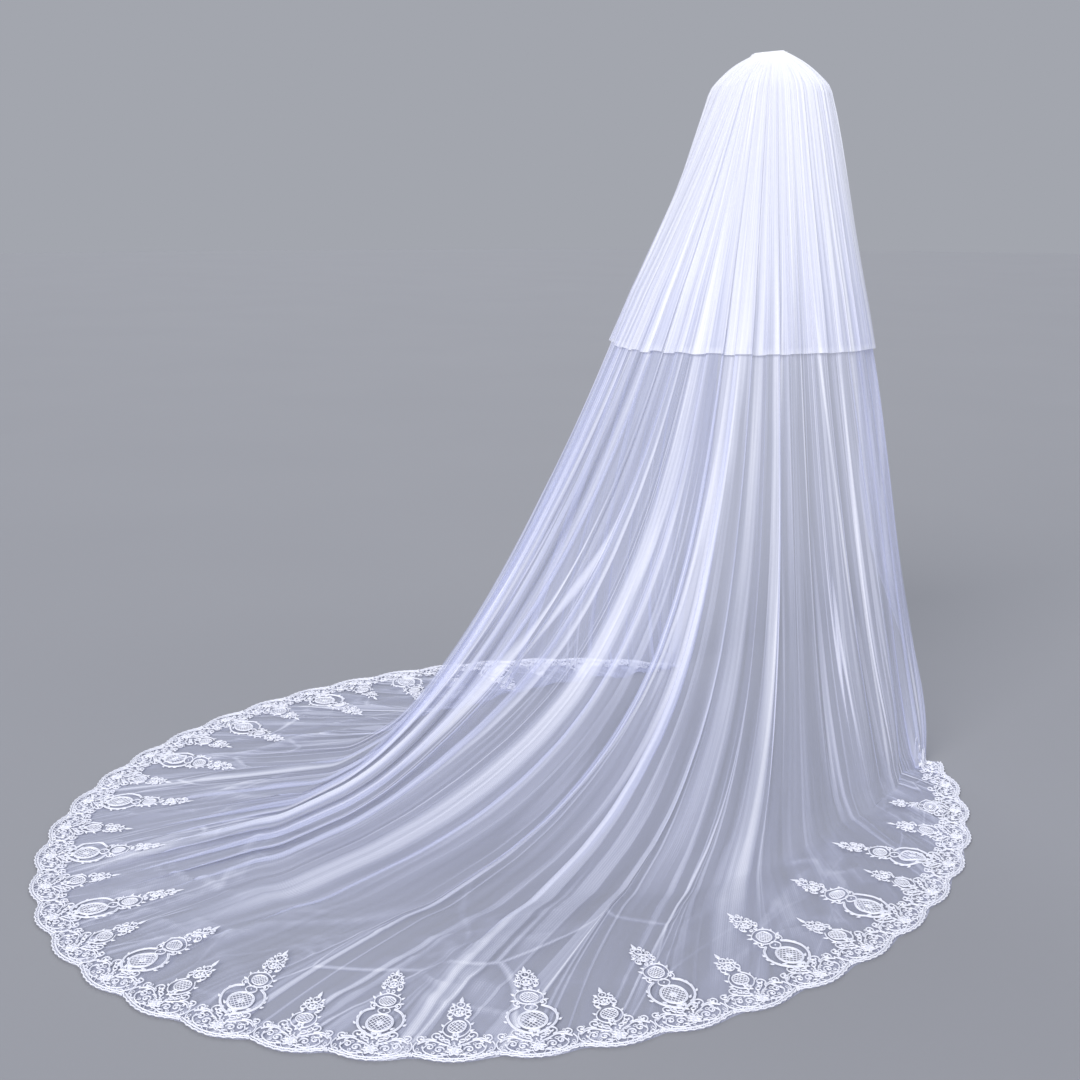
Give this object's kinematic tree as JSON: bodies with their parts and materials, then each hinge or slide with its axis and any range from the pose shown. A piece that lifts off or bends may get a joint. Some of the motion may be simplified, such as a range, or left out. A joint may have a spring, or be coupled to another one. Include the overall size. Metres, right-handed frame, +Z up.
{
  "type": "bridal veil",
  "caption": "Worn two-tier cathedral bridal veil: gathered on a hair comb, plain upper tier, long tulle train with a scalloped lace hem spread on the floor.",
  "frame": {"origin": "middle of the comb's spine, where the comb sits at the back of the wearer's head", "axes": "+Z up, +Y behind the wearer along the train, so the wearer faces -Y and their right hand is at -X; the floor is at z = -1.600 m"},
  "size_m": [1.8194, 1.9355, 1.6045],
  "materials": {
    "tulle": "sheer soft tulle",
    "lace": "corded and beaded lace",
    "satin": "gathered casing",
    "comb_metal": "silver plated"
  },
  "bodies": {
    "root": {"comb": "comb_metal", "gather_casing": "satin", "lace_border_left": "lace", "lace_border_right": "lace", "long_tier": "tulle", "short_spray_left_02": "lace", "short_spray_left_04": "lace", "short_spray_left_06": "lace", "short_spray_left_08": "lace", "short_spray_left_10": "lace", "short_spray_left_12": "lace", "short_spray_left_14": "lace", "short_spray_left_16": "lace", "short_spray_right_00": "lace", "short_spray_right_02": "lace", "short_spray_right_04": "lace", "short_spray_right_06": "lace", "short_spray_right_08": "lace", "short_spray_right_10": "lace", "short_spray_right_12": "lace", "short_spray_right_14": "lace", "short_spray_right_16": "lace", "tall_spray_left_01": "lace", "tall_spray_left_03": "lace", "tall_spray_left_05": "lace", "tall_spray_left_07": "lace", "tall_spray_left_09": "lace", "tall_spray_left_11": "lace", "tall_spray_left_13": "lace", "tall_spray_left_15": "lace", "tall_spray_left_17": "lace", "tall_spray_right_01": "lace", "tall_spray_right_03": "lace", "tall_spray_right_05": "lace", "tall_spray_right_07": "lace", "tall_spray_right_09": "lace", "tall_spray_right_11": "lace", "tall_spray_right_13": "lace", "tall_spray_right_15": "lace", "tall_spray_right_17": "lace", "upper_tier": "tulle"}
  },
  "joints": []
}
